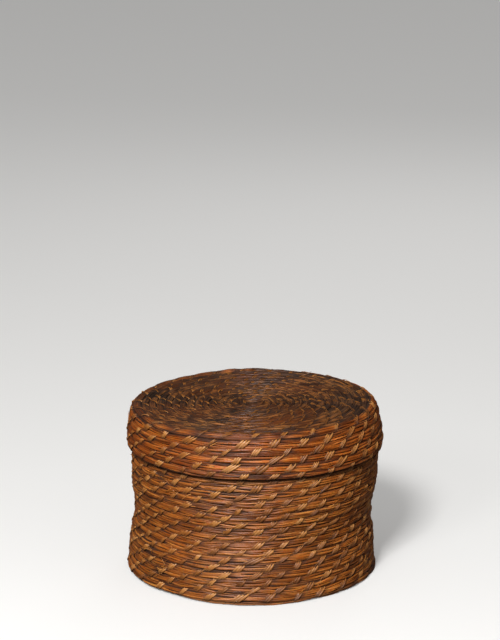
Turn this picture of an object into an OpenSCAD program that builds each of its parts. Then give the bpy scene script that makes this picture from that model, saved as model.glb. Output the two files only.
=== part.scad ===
// Round lidded basket, sewn from a long bundle of dried grass stems.
// The wall, the collar inside its mouth and the lid are each one unbroken bundle,
// wound course after course and held together by slanting stitches of split grass.
// Millimetres, +Z up, with the origin in the middle of the underside.

/* [Bundle] */
// Distance from one course of the coil to the next
coil_pitch = 5.2; // [4.6:0.1:6.5]
// Space left between neighbouring courses
course_gap = 0.5; // [0.45:0.05:0.8]
// Thickness of the bundle through the wall
bundle_t = 4.2; // [3.4:0.1:5.4]

/* [Stitches] */
// Width of the sewing strand
strand_w = 2.2; // [1.4:0.1:3]
// Thickness of the sewing strand
strand_t = 0.7; // [0.4:0.05:0.9]
// Height of a stitch above the bundle
stitch_rise = 0.6; // [0.3:0.05:0.9]
// Lean of a stitch away from square across the bundle, in degrees
stitch_lean = 38; // [0:1:48]
// Depth that a stitch is sewn into the course before its own
stitch_bite = 0.3; // [0.1:0.05:0.5]
// Stitches in a full turn: an even number and a half, so that each row stands between the last
stitches_per_turn = 26.5; // [20.5:2:32.5]

/* [Basket] */
// Thickness of the flat base
base_t = 4.2; // [3.2:0.1:6]
// Depth of the grooves between the courses of the base
base_groove = 1.4; // [0.6:0.1:1.5]
// Radius of the knot that the base's coil starts from
base_knot_r = 3.6; // [2:0.1:5]
// Height of the wall's rim above the table
wall_h = 89.4; // [60:0.1:110]
// Outer radius of the wall, above and below its waist
wall_r = 86.2; // [70:0.1:100]
// Depth by which the wall draws in at its waist
waist_depth = 3; // [0:0.1:5]
// Height of the waist's middle above the table
waist_z = 43; // [30:0.5:55]
// Height over which the wall draws in and out again
waist_h = 52; // [30:0.5:70]

/* [Collar] */
// Depth of the collar's foot below the wall's rim
collar_foot = 6; // [6:0.5:12]
// Room between the collar's top and the underside of the lid that rests on it
rest_gap = 0.3; // [0.2:0.05:0.6]
// Room between the stitches of the wall and those of the collar
collar_gap = 0.3; // [0.2:0.05:0.6]
// Height of the ties that sew the collar to the wall
tie_h = 4; // [3:0.1:5]

/* [Lid] */
// Height of the lid's coil from its lower edge to its top
lid_h = 28.6; // [25:0.1:40]
// Flare of the lid's side from its top to its lower edge
lid_flare = 3; // [0:0.1:5]
// Radius of the bend from the lid's top to its side, at the middle of the bundle
lid_corner = 4.5; // [4.2:0.1:9]
// Room between the stitches of the collar and those of the lid's side, where it is narrowest
lid_clearance = 0.7; // [0.5:0.05:2]
// Room between the wall's rim and the lid's lower edge
seat_gap = 0.4; // [0.3:0.05:1]
// Radius of the wrapped knot that the lid's coil starts from
knot_r = 2.5; // [2:0.1:4]
// Bevel round the knot's edges
knot_bevel = 0.8; // [0.3:0.1:1.2]

/* [Hidden] */
grass = "#8f5a30";
grass_pale = "#b98a52";
grass_dark = "#6f4a2a";
$fn = 96;

// Rings of the coil in a turn, and in a turn of the tight courses inside tight_r
rings_per_turn = 18;
tight_rings = rings_per_turn / 2;
tight_r = 30;
// Rings lie as far outside the true circle as the flats between them lie inside it
ring_fit = 2 / (1 + cos(180 / rings_per_turn));
// Share of a turn by which each thin end of a coil stops short
blunt = 0.22;
// Share of the bundle's thickness that is left where its end has no width
end_thickness = 0.4;
// Turns without stitches at each end of a coil, and round the lid's knot
bare_turns = 0.4;
knot_turns = 1.5;
// Inside this radius the courses have fewer stitches, at the spacing that they have here
full_row_r = 70;
// Stitches of one course that lie more steps apart than this have two between them in the next
far_apart = 1.35;
// Room between the stitches of one course and those of the next
row_room = 0.2;
// Nodes for the stitches of the wall and of the lid, about one to a course
wall_rows = 17;
lid_rows = 20;

course_w = coil_pitch - course_gap;
stitched_t = bundle_t + 2 * stitch_rise;

// The wall's bundle, by height
function waist_share(z) = (1 + cos(180 * min(1, abs(z - waist_z) / (waist_h / 2)))) / 2;
function wall_mid_r(z) = wall_r - bundle_t / 2 - waist_depth * waist_share(z);
wall_start = base_t + course_gap / 2;
wall_turns = 1 + (wall_h - base_t) / coil_pitch;
wall_path = function(s) [wall_mid_r(s), s, 90];
base_r = wall_mid_r(base_t) + bundle_t / 2;

// The base's courses run from its knot to a plain ring under the wall
base_edge_r = base_r - base_t / 2;
base_lap = coil_pitch / 4;
base_ring_r = base_edge_r - coil_pitch - 2 * base_lap;
function base_valley(quarter, k) = base_knot_r + coil_pitch * (k + quarter / 4);

// The collar fits inside the narrowest course of the wall beside its foot
mouth_r = min([for (share = [0:0.25:1]) wall_mid_r(wall_h - share * collar_foot)]);
collar_r = mouth_r - stitched_t - collar_gap;
collar_start = wall_h - collar_foot - course_gap / 2;
collar_path = function(s) [collar_r, s, 90];

// The lid's bundle runs out from the knot, round the corner and down the side
lid_z = wall_h + seat_gap;
lid_mid_z = lid_z + lid_h - bundle_t / 2;
lid_top_r = collar_r + stitched_t + lid_clearance;
lid_flat = lid_top_r - lid_corner;
lid_bend = lid_corner * PI / 2;
lid_side = lid_h - bundle_t / 2 - lid_corner;
lid_start = knot_r + course_gap / 2;
lid_turns = 1 + (lid_flat + lid_bend + lid_side - knot_r) / coil_pitch;
function lid_top_at(s) = [s, lid_mid_z, 0];
function lid_bend_at(angle) = [
    lid_flat + lid_corner * sin(angle),
    lid_mid_z - lid_corner * (1 - cos(angle)),
    -angle
];
function lid_side_at(drop) = [
    lid_top_r + lid_flare * sin(90 * min(drop / lid_side, 1)),
    lid_mid_z - lid_corner - drop,
    -90
];
lid_path = function(s)
    s < lid_flat ? lid_top_at(s)
    : s < lid_flat + lid_bend ? lid_bend_at(90 * (s - lid_flat) / lid_bend)
    : lid_side_at(s - lid_flat - lid_bend);

// The collar ends just under the lid's top, and clear of the bend inside its corner
bend_r = max(lid_corner - stitched_t / 2, 0);
bend_in = max(collar_r + stitched_t / 2 - lid_flat, 0);
bend_drop = bend_r - sqrt(max(bend_r * bend_r - bend_in * bend_in, 0));
collar_top = lid_mid_z - stitched_t / 2 - rest_gap - bend_drop;
collar_turns = 1 + (collar_top - wall_h + collar_foot) / coil_pitch;

// A coil fills its meridian line from end to end: its first and last turn are wedges.
// A path gives radius, height and direction (0 outward, 90 up) at a length along it.
function edge_before(t) = coil_pitch * max(t - 1, 0);
function edge_after(t, turns) = coil_pitch * min(t, turns - 1);
function mid_at(t, turns) = (edge_before(t) + edge_after(t, turns)) / 2;
function width_at(t, turns) = edge_after(t, turns) - edge_before(t) - course_gap;
function thickness_at(t, turns) =
    bundle_t * (end_thickness + (1 - end_thickness) * width_at(t, turns) / course_w);
function place_at(path, start, turns, t) = path(start + mid_at(t, turns));

// Turn counts at which a coil has a ring
function ring_turns(path, start, turns) = [
    for (i = [ceil(blunt * rings_per_turn) : floor((turns - blunt) * rings_per_turn)])
        let (t = i / rings_per_turn)
        if (i % 2 == 0 || place_at(path, start, turns, t)[0] >= tight_r) t
];

// The six points of one ring, with two tips towards the neighbouring courses
function ring(path, start, turns, t) =
    let (
        place = place_at(path, start, turns, t),
        half_w = width_at(t, turns) / 2,
        half_t = thickness_at(t, turns) / 2 / sin(60)
    )
    [
        for (k = [0:5])
            let (
                along = half_w * cos(60 * k),
                out = half_t * sin(60 * k),
                r = ring_fit * (place[0] + along * cos(place[2]) - out * sin(place[2])),
                z = place[1] + along * sin(place[2]) + out * cos(place[2])
            )
            [r * cos(360 * t), r * sin(360 * t), z]
    ];

// Least distance between the points of a ring and those of the ring one turn on
function least_gap(path, start, turns) =
    min([
        for (t = ring_turns(path, start, turns))
            if (t + 1 <= turns - blunt)
                for (a = ring(path, start, turns, t), b = ring(path, start, turns, t + 1))
                    norm(a - b)
    ]);

// One unbroken bundle wound along a path
module coil(path, start, turns) {
    rings = [for (t = ring_turns(path, start, turns)) ring(path, start, turns, t)];
    last = 6 * (len(rings) - 1);
    sides = [
        for (i = [0 : 6 : last - 6], k = [0:5])
            let (a = i + k, b = i + (k + 1) % 6)
            each [[a, b, b + 6], [a, b + 6, a + 6]]
    ];
    ends = [for (k = [1:4]) each [[0, k + 1, k], [last, last + k, last + k + 1]]];
    polyhedron(points = [for (row = rings) each row], faces = concat(sides, ends));
}

// One stitch: a flat strand looped round a course and into the course before it.
// X runs along the bundle, Y on to the next course and Z out of the wall.
strand_along = strand_w / cos(stitch_lean);
function stitch_foot(width) = -(width / 2 + course_gap + stitch_bite);
function stitch_head(width) = width / 2 - stitch_bite - row_room;
module stitch(width, thickness) {
    low = stitch_foot(width);
    high = stitch_head(width);
    depth = thickness + 2 * stitch_rise;
    half = strand_along / 2;
    shift = tan(stitch_lean);
    length = high - low;
    difference() {
        linear_extrude(depth, center = true)
            polygon([
                [low * shift - half, low],
                [low * shift + half, low],
                [high * shift + half, high],
                [high * shift - half, high]
            ]);
        translate([0, low + length / 2, 0])
            cube([4 * length + strand_w, length - 2 * strand_t, depth - 2 * strand_t], center = true);
    }
}

// Sets a piece on the flat of a coil's ring, with Z out of the wall
module on_course(path, start, turns, t) {
    place = place_at(path, start, turns, t);
    step = 360 / (place[0] < tight_r ? tight_rings : rings_per_turn);
    facet = (floor(360 * t / step) + 0.5) * step;
    flat_r = place[0] * ring_fit * cos(step / 2);
    slip = flat_r * tan(360 * t - facet);
    side = place[2] > 0 ? 1 : -1;
    radial = [cos(facet), sin(facet), 0];
    up = [0, 0, 1];
    onward = radial * cos(place[2]) + up * sin(place[2]);
    out = side * (radial * sin(place[2]) - up * cos(place[2]));
    along = cross(onward, out);
    spot = radial * flat_r + cross(up, radial) * slip + up * place[1];
    multmatrix([for (i = [0:2]) [along[i], onward[i], out[i], spot[i]]])
        children();
}

// Turns from one stitch to the next on a course of this radius
function stitch_step(r) = max(1, full_row_r / r) / stitches_per_turn;

// Turn counts of the stitches on a coil's first sewn course
function first_row(path, start, turns, t, end) =
    t > end ? []
    : let (r = place_at(path, start, turns, t)[0])
    concat([t], first_row(path, start, turns, t + stitch_step(r), end));

// Turn counts of all stitches on a coil: each goes half way between two of the course before,
// moved along by the slide, and two go in where those lie far apart
function sew(path, start, turns, slide, sewn, i = 0) =
    let (
        gap = sewn[i + 1] - sewn[i],
        r = place_at(path, start, turns, sewn[i] + 1 + gap / 2)[0],
        count = gap > far_apart * stitch_step(r) ? 2 : 1,
        added = [
            for (k = [0 : count - 1])
                sewn[i] + 1 + gap * (k + 0.5) / count + slide / (2 * PI * r)
        ]
    )
    added[count - 1] > turns - bare_turns ? sewn
    : sew(path, start, turns, slide, concat(sewn, added), i + 1);

// On the lid the stitches lean against the turn of the coil, and slide back by that lean
lid_slide = -(coil_pitch - row_room) * tan(stitch_lean);
wall_first = first_row(wall_path, wall_start, wall_turns, bare_turns, bare_turns + 1);
wall_sewn = sew(wall_path, wall_start, wall_turns, 0, wall_first);
collar_first = first_row(collar_path, collar_start, collar_turns, bare_turns, bare_turns + 1);
collar_sewn = sew(collar_path, collar_start, collar_turns, 0, collar_first);
lid_first = first_row(lid_path, lid_start, lid_turns, knot_turns, knot_turns + 1);
lid_sewn = sew(lid_path, lid_start, lid_turns, lid_slide, lid_first);

// One row of stitches, where a coil's sewn turns are shared out evenly among its rows
module stitches(path, start, turns, sewn, row = 1, rows = 1) {
    first = sewn[0];
    share = (turns - first) / rows;
    for (t = sewn)
        if (floor((t - first) / share) == row - 1)
            on_course(path, start, turns, t)
                stitch(width_at(t, turns), thickness_at(t, turns));
}

function numbered(name, k) = str(name, k < 10 ? "_0" : "_", k);

// A quarter turn of the base's courses, with grooves on both faces.
// Its round courses have a middle of their own, so that the four quarters wind outward.
module base_quarter(quarter) {
    courses = ceil((base_ring_r + base_lap - base_valley(quarter, 0)) / coil_pitch);
    under = concat(
        [[0, 0], [base_valley(quarter, 0) - base_lap, 0]],
        [
            for (k = [0 : courses - 1])
                let (r = base_valley(quarter, k))
                each [[r, base_groove], [r + base_lap, 0], [r + coil_pitch - base_lap, 0]]
        ],
        [[base_valley(quarter, courses), base_groove]]
    );
    over = [for (i = [len(under) - 1 : -1 : 0]) [under[i][0], base_t - under[i][1]]];
    rotate(90 * quarter)
        translate([-base_lap / 2, base_lap / 2, 0])
            rotate_extrude(angle = 90)
                polygon(concat(under, over));
}

// The flat round base: the middle of its knot, its courses and the ring round its edge
module base_coil() {
    color(grass_dark) {
        cylinder(r = base_lap, h = base_t);
        for (quarter = [0:3])
            base_quarter(quarter);
        rotate_extrude() {
            translate([base_ring_r, 0])
                square([base_edge_r - base_ring_r, base_t]);
            intersection() {
                translate([base_edge_r, base_t / 2])
                    circle(d = base_t);
                square([base_r, base_t]);
            }
        }
    }
}

// The wall from the base to the rim
module wall_coil() {
    color(grass)
        coil(wall_path, wall_start, wall_turns);
}

// One row of the wall's stitches
module wall_stitches(row) {
    color(grass_pale)
        stitches(wall_path, wall_start, wall_turns, wall_sewn, row, wall_rows);
}

// The collar that stands in the mouth and keeps the lid in place
module collar_coil() {
    color(grass_dark)
        coil(collar_path, collar_start, collar_turns);
}

// All stitches of the collar
module collar_stitches() {
    color(grass_pale)
        stitches(collar_path, collar_start, collar_turns, collar_sewn);
}

// Loops that sew the collar's foot to the top courses of the wall, one on each flat
module collar_ties() {
    flat_share = ring_fit * cos(180 / rings_per_turn);
    inside = (collar_r - stitched_t / 2 - strand_t) * flat_share;
    reach = mouth_r * flat_share - inside;
    color(grass_pale)
        for (i = [0 : rings_per_turn - 1])
            rotate((i + 0.5) * 360 / rings_per_turn)
                translate([inside + reach / 2, 0, wall_h - collar_foot / 2])
                    difference() {
                        cube([reach, strand_w, tie_h], center = true);
                        cube([reach - 2 * strand_t, 2 * strand_w, tie_h - 2 * strand_t], center = true);
                    }
}

// The wrapped knot in the middle of the lid
module lid_start_knot() {
    color(grass_dark)
        translate([0, 0, lid_mid_z])
            rotate_extrude()
                polygon([
                    [0, -bundle_t / 2],
                    [knot_r - knot_bevel, -bundle_t / 2],
                    [knot_r, knot_bevel - bundle_t / 2],
                    [knot_r, bundle_t / 2 - knot_bevel],
                    [knot_r - knot_bevel, bundle_t / 2],
                    [0, bundle_t / 2]
                ]);
}

// The lid from its knot out to the edge and down the side
module lid_coil() {
    color(grass)
        coil(lid_path, lid_start, lid_turns);
}

// One row of the lid's stitches
module lid_stitches(row) {
    color(grass_pale)
        stitches(lid_path, lid_start, lid_turns, lid_sewn, row, lid_rows);
}

echo(wall_least_gap = least_gap(wall_path, wall_start, wall_turns));
echo(collar_least_gap = least_gap(collar_path, collar_start, collar_turns));
echo(lid_least_gap = least_gap(lid_path, lid_start, lid_turns));

base_coil();
wall_coil();
collar_coil();
collar_stitches();
collar_ties();
lid_start_knot();
lid_coil();
for (k = [1:wall_rows])
    wall_stitches(k);
for (k = [1:lid_rows])
    lid_stitches(k);
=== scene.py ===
# Round lidded basket: coils of dried grass stems, sewn with slanting strands of split grass

import math

import bpy
import numpy as np
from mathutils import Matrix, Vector


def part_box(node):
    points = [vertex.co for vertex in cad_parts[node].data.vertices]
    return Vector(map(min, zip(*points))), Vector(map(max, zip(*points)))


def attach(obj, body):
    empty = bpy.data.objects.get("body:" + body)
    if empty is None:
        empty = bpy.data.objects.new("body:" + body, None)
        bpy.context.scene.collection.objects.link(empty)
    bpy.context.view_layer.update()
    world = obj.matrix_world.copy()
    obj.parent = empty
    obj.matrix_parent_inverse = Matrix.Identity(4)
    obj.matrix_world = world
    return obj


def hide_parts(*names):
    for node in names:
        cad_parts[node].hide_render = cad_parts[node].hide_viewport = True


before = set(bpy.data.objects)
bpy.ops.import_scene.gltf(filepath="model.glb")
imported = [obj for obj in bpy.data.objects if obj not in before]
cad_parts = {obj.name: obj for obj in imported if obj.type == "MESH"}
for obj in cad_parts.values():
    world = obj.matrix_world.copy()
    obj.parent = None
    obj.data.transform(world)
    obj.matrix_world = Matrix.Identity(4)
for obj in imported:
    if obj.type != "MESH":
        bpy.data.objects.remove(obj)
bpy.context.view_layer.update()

mm = 0.001
print("frame loaded:", len(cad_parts), "nodes")


# camera, at the height and distance that the picture was taken from

cameraSet = {
    "place": (-0.0025, -1.6007, 0.5896),
    "lookDown": 14.44,  # degrees below level
    "focal": 2384.7,  # pixels
    "frameHigh": 640,  # pixels
    "sensor": 36.0,
    "farthest": 20,  # metres
}


def makeCamera(c):
    data = bpy.data.cameras.new("camera")
    data.sensor_fit = "VERTICAL"
    data.sensor_height = c["sensor"]
    data.lens = c["sensor"] * c["focal"] / c["frameHigh"]
    data.clip_end = c["farthest"]
    camera = bpy.data.objects.new("camera", data)
    camera.location = c["place"]
    camera.rotation_euler = (math.radians(90 - c["lookDown"]), 0, 0)
    bpy.context.collection.objects.link(camera)
    bpy.context.scene.camera = camera


makeCamera(cameraSet)
print("camera set")


# small helpers

def srgb(r, g, b):  # picked as 0 to 255, given to the nodes as linear light
    def linear(c):
        return ((c / 255 + 0.055) / 1.055) ** 2.4 if c > 10 else c / 255 / 12.92

    return linear(r), linear(g), linear(b), 1.0


def smoothStep(x):
    x = np.clip(x, 0, 1)
    return x * x * (3 - 2 * x)


longTable = 997  # random values before a wander repeats
shortTable = 499


def drift(table, x, span):  # smooth random wander: one table value every span
    i = np.floor(x / span).astype(int)
    f = smoothStep(x / span - i)
    n = len(table)
    return table[i % n] * (1 - f) + table[(i + 1) % n] * f


def makeMesh(name, points, faces, values):
    mesh = bpy.data.meshes.new(name)
    mesh.from_pydata((points * mm).tolist(), [], faces)
    for key, value in values.items():
        mesh.attributes.new(key, "FLOAT", "POINT").data.foreach_set("value", value.astype(np.float32))
    mesh.polygons.foreach_set("use_smooth", np.ones(len(mesh.polygons), bool))
    mesh.update()
    piece = bpy.data.objects.new(name, mesh)
    bpy.context.collection.objects.link(piece)
    return piece


def tubeFaces(rings, sides, first):  # quads along a tube and a cap at each end
    i, k = np.meshgrid(np.arange(rings - 1), np.arange(sides), indexing="ij")
    a = first + i * sides + k
    b = first + i * sides + (k + 1) % sides
    quads = np.stack([a, b, b + sides, a + sides], -1).reshape(-1, 4).tolist()
    last = first + (rings - 1) * sides
    return quads + [list(range(first + sides - 1, first - 1, -1)), list(range(last, last + sides))]


def loopFaces(rings, sides, first):  # quads round a closed loop
    i, k = np.meshgrid(np.arange(rings), np.arange(sides), indexing="ij")
    j = (i + 1) % rings
    a = first + i * sides + k
    b = first + i * sides + (k + 1) % sides
    c = first + j * sides + (k + 1) % sides
    d = first + j * sides + k
    return np.stack([a, b, c, d], -1).reshape(-1, 4).tolist()


# shape of the coils, in millimetres

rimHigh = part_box("wall_coil")[1].z / mm
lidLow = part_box("lid_coil")[0].z / mm
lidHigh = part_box("lid_coil")[1].z / mm
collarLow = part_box("collar_coil")[0].z / mm
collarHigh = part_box("collar_coil")[1].z / mm

bundle = {
    "pitch": 5.2,  # from course to course
    "wide": 6.7,  # along the wall, pressed into its neighbours
    "thick": 4.4,  # through the wall
    "square": 3.0,  # 2 is an oval section, more is squarer
    "stemSize": 1.3,
    "pinchWide": 0.08,  # drawn in under a stitch
    "pinchThick": 0.4,
    "pinchReach": 3.2,
    "pinchShift": 2.0,  # past the stitch's middle
    "sway": 0.55,  # wander of whole courses along the wall
    "swell": 0.35,  # wander of whole courses in and out
    "jitter": 0.16,  # wander of each course by itself
    "perTurn": 26.5,  # stitches on a full course
    "fullFrom": 42.0,  # radius of the smallest full course
    "closeUnder": 16,  # stitches nearer than this draw in a shorter stretch
    "taper": 0.06,  # share of the width left at a coil's ends
    "taperThick": 0.35,
    "tightStep": 0.35,  # longest step on a tight course, share of its radius
}
waves = {  # count to a turn, change along the profile, size
    "sway": [(3, 0.03, 0.6), (5, -0.05, 0.5), (9, 0.07, 0.35)],
    "swell": [(4, 0.06, 0.6), (7, -0.11, 0.5)],
    "phases": 8,
    "swayEvery": 37,  # millimetres between the changes of one course
    "swellEvery": 29,
    "calmOver": 14,  # the last stretch is wound more evenly
    "calmSwell": 0.3,  # shares that stay there
    "calmJitter": 0.4,
}
profileSteps = {"flat": 400, "bend": 60, "wall": 400, "collar": 60, "lidSide": 200}
outlineSteps = 2000
gridPerTurn = 60
basketShape = {
    "start": 3.0,
    "floorGap": 2.0,  # middle of the bundle above the table
    "hollow": 1.6,  # rise of the base's middle
    "corner": 1.0,
    "foot": 1.3,  # flare of the lowest courses
    "footHigh": 10.0,
    "radius": 84.1,  # middle of the wall's bundle
    "waist": 3.0,
    "waistAt": 43.0,
    "waistHigh": 52.0,
}
collarShape = {"radius": 78.4}
lidShape = {
    "start": 3.0,
    "edge": 87.5,  # middle of the bundle at the lower edge
    "flare": 3.0,
    "corner": 4.5,
    "sag": 1.7,  # dip of the lid's middle
    "gutter": 0.5,  # dip just inside the raised edge
    "gutterWide": 5.0,
    "gutterEdge": 2.0,
    "thick": 4.2,
}
handmade = {
    "lean": 0.037,  # sideways for each millimetre of height
    "leanFrom": 60,
    "lidLean": -0.05,
    "lidRise": 1.3,
    "lidTilt": 0.015,
    "lidFrom": 2,  # above the lid's lower edge
    "footBulge": 0.012,
    "footTurn": -50,  # degrees
    "footHigh": 12,
    "footPower": 1.5,
    "oval": 0.004,
    "ovalTurn": 0.6,
    "threeLobe": 0.0025,
    "lobeTwist": 45,  # millimetres of height for a radian
    "floorClear": 0.05,
}


def wallRadius(z):
    b = basketShape
    away = np.minimum(np.abs(z - b["waistAt"]) / (b["waistHigh"] / 2), 1)
    flare = b["foot"] * np.maximum(1 - z / b["footHigh"], 0) ** 2
    return b["radius"] + flare - b["waist"] * (1 + np.cos(np.pi * away)) / 2


def bendAngles():
    return np.radians(np.linspace(1, 89, profileSteps["bend"]))


def basketLine():
    b = basketShape
    low = b["floorGap"]
    foot = float(wallRadius(low + b["corner"])) - b["corner"]
    r = np.linspace(b["start"], foot, profileSteps["flat"])
    flat = np.c_[r, low + b["hollow"] * (1 - (r / foot) ** 2)]
    a = bendAngles()
    bend = np.c_[foot + b["corner"] * np.sin(a), low + b["corner"] * (1 - np.cos(a))]
    z = np.linspace(low + b["corner"], rimHigh, profileSteps["wall"])
    return np.r_[flat, bend, np.c_[wallRadius(z), z]]


def collarLine():
    z = np.linspace(collarLow, collarHigh, profileSteps["collar"])
    return np.c_[np.full_like(z, collarShape["radius"]), z]


def lidLine():
    d = lidShape
    top = lidHigh - d["thick"] / 2
    flatEnd = d["edge"] - d["flare"] - d["corner"]
    r = np.linspace(d["start"], flatEnd, profileSteps["flat"])
    inward = flatEnd - r
    gutter = d["gutter"] * np.exp(-((inward / d["gutterWide"] - 1) ** 2))
    gutter = gutter * smoothStep(inward / d["gutterEdge"])
    flat = np.c_[r, top - d["sag"] * (1 - (r / flatEnd) ** 2) - gutter]
    a = bendAngles()
    bend = np.c_[flatEnd + d["corner"] * np.sin(a), top - d["corner"] * (1 - np.cos(a))]
    z = np.linspace(top - d["corner"], lidLow, profileSteps["lidSide"])
    down = (z[0] - z) / (z[0] - lidLow)
    return np.r_[flat, bend, np.c_[d["edge"] - d["flare"] * (1 - np.sin(down * np.pi / 2)), z]]


def makeCoil(line, winding):
    step = np.hypot(*np.diff(line, axis=0).T)
    s = np.r_[0, np.cumsum(step)]
    slope = np.gradient(line, s, axis=0)
    slope /= np.linalg.norm(slope, axis=1)[:, None]
    rng = np.random.default_rng(winding["seed"])
    turns = 1 + s[-1] / bundle["pitch"]
    coil = dict(
        winding, s=s, line=line, slope=slope, turns=turns,
        wander=rng.normal(0, 1, (2, longTable)), phase=rng.uniform(0, 2 * np.pi, waves["phases"]))
    grid = np.linspace(0, turns, int(turns * gridPerTurn))
    r = np.interp(courseMiddle(coil, grid), s, line[:, 0])
    coil["grid"] = grid
    coil["length"] = np.r_[0, np.cumsum(2 * np.pi * (r[1:] + r[:-1]) / 2 * np.diff(grid))]
    coil["sewn"] = stitchTurns(coil, winding["firstStitch"], rng)
    coil["sewnAt"] = lengthAt(coil, coil["sewn"])
    return coil


def courseEdges(coil, t):
    p = bundle["pitch"]
    return p * np.maximum(t - 1, 0), p * np.minimum(t, coil["turns"] - 1)


def courseMiddle(coil, t):
    low, high = courseEdges(coil, t)
    return (low + high) / 2


def lengthAt(coil, t):
    return np.interp(t, coil["grid"], coil["length"])


def stitchTurns(coil, t, rng):  # fewer to the turn on the small courses
    turns = []
    while t < coil["turns"] - stitches["endFree"]:
        r = np.interp(courseMiddle(coil, t), coil["s"], coil["line"][:, 0])
        step = max(1, bundle["fullFrom"] / r) / bundle["perTurn"]
        turns.append(t + rng.normal(0, stitches["uneven"]) * step)
        t += step
    return np.array(turns)


def waveSum(waveList, turn, s, phase):
    total = 0
    for (count, rate, size), shift in zip(waveList, phase):
        total = total + size * np.sin(count * turn + rate * s + shift)
    return total


def placeAt(coil, t):  # middle of the bundle, its three directions and its half sizes
    s = courseMiddle(coil, t)
    low, high = courseEdges(coil, t)
    share = np.clip((high - low) / bundle["pitch"], bundle["taper"], 1)
    r = np.interp(s, coil["s"], coil["line"][:, 0])
    z = np.interp(s, coil["s"], coil["line"][:, 1])
    dr = np.interp(s, coil["s"], coil["slope"][:, 0])
    dz = np.interp(s, coil["s"], coil["slope"][:, 1])
    turn = 2 * np.pi * t
    x = lengthAt(coil, t)
    w = waves
    loose = smoothStep((coil["s"][-1] - s) / w["calmOver"]) if coil["swayed"] else np.zeros_like(s)
    sway = bundle["sway"] * loose * waveSum(w["sway"], turn, s, coil["phase"])
    sway = sway + bundle["jitter"] * drift(coil["wander"][0], x, w["swayEvery"]) * loose
    swell = bundle["swell"] * (w["calmSwell"] + (1 - w["calmSwell"]) * loose)
    swell = swell * waveSum(w["swell"], turn, s, coil["phase"][len(w["sway"]):])
    swell = swell + (bundle["jitter"] * drift(coil["wander"][1], x, w["swellEvery"])
                     * (w["calmJitter"] + (1 - w["calmJitter"]) * loose))
    cos, sin = np.cos(turn), np.sin(turn)
    zero = np.zeros_like(t)
    radial = np.stack([cos, sin, zero], -1)
    up = np.stack([zero, zero, zero + 1], -1)
    onward = radial * dr[..., None] + up * dz[..., None]
    out = coil["outSide"] * (radial * dz[..., None] - up * dr[..., None])
    along = np.cross(onward, out)
    middle = radial * r[..., None] + up * z[..., None] + onward * sway[..., None] + out * swell[..., None]
    thin = bundle["taperThick"] + (1 - bundle["taperThick"]) * share
    wide = coil["wideFlat"] + (bundle["wide"] - coil["wideFlat"]) * np.abs(dz)
    return middle, along, onward, out, share * wide / 2, thin * bundle["thick"] / 2


def bentByHand(p):  # the whole basket leans a little and isn't quite round
    h = handmade
    turn = np.arctan2(p[:, 1], p[:, 0])
    grow = 1 + h["oval"] * np.cos(2 * turn + h["ovalTurn"])
    grow = grow + h["threeLobe"] * np.sin(3 * turn + p[:, 2] / h["lobeTwist"])
    low = np.maximum(1 - p[:, 2] / h["footHigh"], 0) ** h["footPower"]
    grow = grow + h["footBulge"] * low * (1 + np.cos(turn - math.radians(h["footTurn"])))
    q = p.copy()
    q[:, :2] *= grow[:, None]
    q[:, 0] += h["lean"] * (np.minimum(p[:, 2], rimHigh) - h["leanFrom"])
    q[:, 0] += h["lidLean"] * np.maximum(p[:, 2] - rimHigh, 0)
    onLid = smoothStep((p[:, 2] - lidLow - h["lidFrom"]) / (lidHigh - lidLow - h["lidFrom"]))
    q[:, 2] = np.maximum(p[:, 2] + onLid * (h["lidRise"] + h["lidTilt"] * p[:, 0]), h["floorClear"])
    return q


# bundles: a core painted dark for the shade inside the bundle, and a ring of stems, each with its own
# wander, tone and joins

def section(angle, half, deep):  # point on the bundle's squarish outline
    c, d = np.cos(angle), np.sin(angle)
    power = 2 / bundle["square"]
    return half * np.sign(c) * np.abs(c) ** power, deep * np.sign(d) * np.abs(d) ** power


def evenAngles():  # angle for each share of the way round the outline
    angle = np.linspace(0, 2 * np.pi, outlineSteps)
    v, n = section(angle, bundle["wide"], bundle["thick"])
    way = np.r_[0, np.cumsum(np.hypot(np.diff(v), np.diff(n)))]
    return way / way[-1], angle


outlineWay, outlineAngle = evenAngles()


def pastNearest(marks, x):  # way past the nearest mark, below zero when still before it
    i = np.clip(np.searchsorted(marks, x), 1, len(marks) - 1)
    past, before = x - marks[i - 1], x - marks[i]
    return np.where(np.abs(past) < np.abs(before), past, before)


def drawnIn(coil, x, v):  # 1 where a stitch draws the stems in
    lean = math.tan(math.radians(stitches["lean"])) * coil["outSide"]
    apart = np.interp(x, coil["sewnAt"][1:], np.diff(coil["sewnAt"]))
    small = np.minimum(1, apart / bundle["closeUnder"])
    past = pastNearest(coil["sewnAt"], x - (v * lean + bundle["pinchShift"]) * small)
    return np.exp(-((past / (bundle["pinchReach"] * small)) ** 2))


wornSpots = [  # turn in degrees, height and size: stems broken away
    (-146, 25, 4.0), (-139, 14, 3.0), (-133, 22, 2.5), (-137, 82, 3.5), (-128, 79, 2.0),
    (-24, 70, 2.5), (-62, 8, 2.0), (75, 40, 3.5), (160, 60, 3.0),
]


def spotPlace(spot):
    turn, high = spot[:2]
    a = math.radians(turn)
    r = float(wallRadius(high))
    return np.array([r * math.cos(a), r * math.sin(a), high])


def wornAt(middle):
    worn = np.zeros(len(middle))
    for spot in wornSpots:
        worn = np.maximum(worn, np.exp(-(np.linalg.norm(middle - spotPlace(spot), axis=1) / spot[2]) ** 2))
    return worn


seamLight = 0.12  # what the painted shadow leaves of the colour where the lid's edge meets the wall
frontSheen = {"at": (6, -66), "reach": 32, "share": 0.65}  # painted sheen: less dust, so lighter, at the front of the lid's top
shoulder = 1.5  # how far the flat part's dust reaches round the edge


# painted shadow on the last stretch of a coil: the wall's top under the lid's edge, and the lid's lower edge
def seamShade(coil, s):
    return seamLight + (1 - seamLight) * smoothStep((coil["s"][-1] - s) / coil["shadowedEnd"])


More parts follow.
